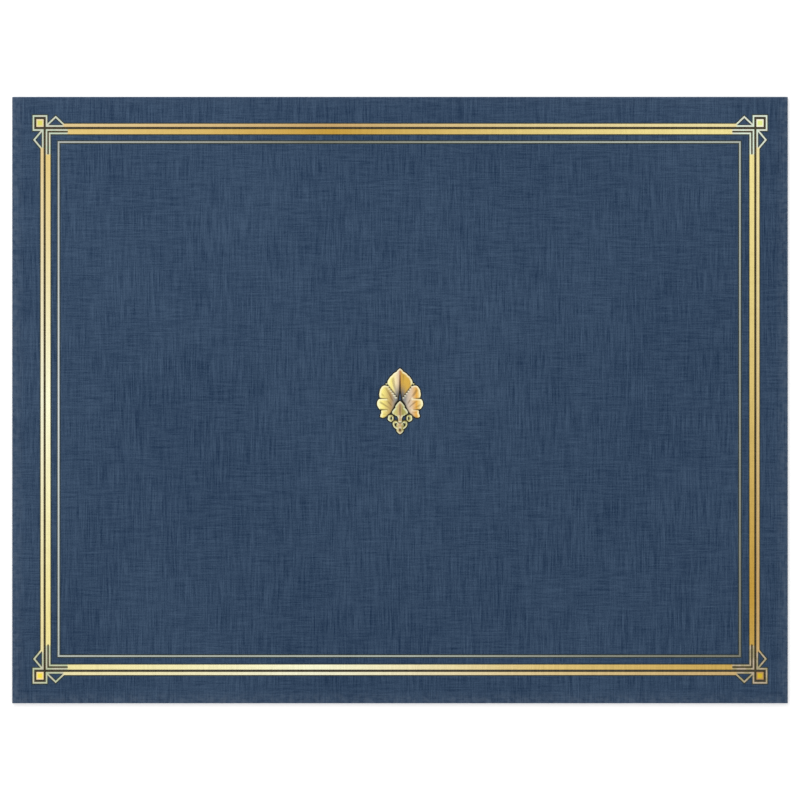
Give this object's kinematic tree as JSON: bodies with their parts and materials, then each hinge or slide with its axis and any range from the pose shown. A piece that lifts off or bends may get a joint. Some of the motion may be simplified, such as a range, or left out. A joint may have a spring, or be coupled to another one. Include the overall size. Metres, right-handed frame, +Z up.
{
  "type": "diploma cover",
  "caption": "Landscape diploma cover of one folded sheet of linen card, with corner slits inside for a letter-size sheet, and a stamped gold foil border and palmette on the front.",
  "frame": {"origin": "under the middle of the closed cover, on the face that it lies on", "axes": "+X along the fold, to the right as the front is read; +Y towards the fold, the top edge of the front; +Z up, out of the front panel"},
  "size_m": [0.3048, 0.2384, 0.0012],
  "materials": {
    "linen_card": "matte",
    "gold_foil": "satin",
    "pale_foil": "satin"
  },
  "bodies": {
    "back": {"back_panel": "linen_card", "fold": "linen_card"},
    "front": {"front_panel": "linen_card", "foil_outer_frame": "gold_foil", "foil_thick_frame": "gold_foil", "foil_inner_line": "pale_foil", "corner_square_top_left": "gold_foil", "corner_square_top_right": "gold_foil", "corner_square_bottom_right": "gold_foil", "corner_square_bottom_left": "gold_foil", "ornament_top_leaf": "pale_foil", "ornament_side_leaf_right": "pale_foil", "ornament_side_leaf_left": "pale_foil", "ornament_heart_leaf": "pale_foil", "ornament_scroll_right": "pale_foil", "ornament_scroll_left": "pale_foil", "ornament_pendant": "pale_foil", "ornament_bead_right": "pale_foil", "ornament_bead_left": "pale_foil"}
  },
  "joints": [
    {"name": "cover_hinge", "type": "hinge", "parent": "back", "child": "front", "pos_m": [0, 0.11865, 0.00055], "axis": [-1, 0, 0], "range_deg": [0, 180], "deforming": ["fold"]}
  ]
}
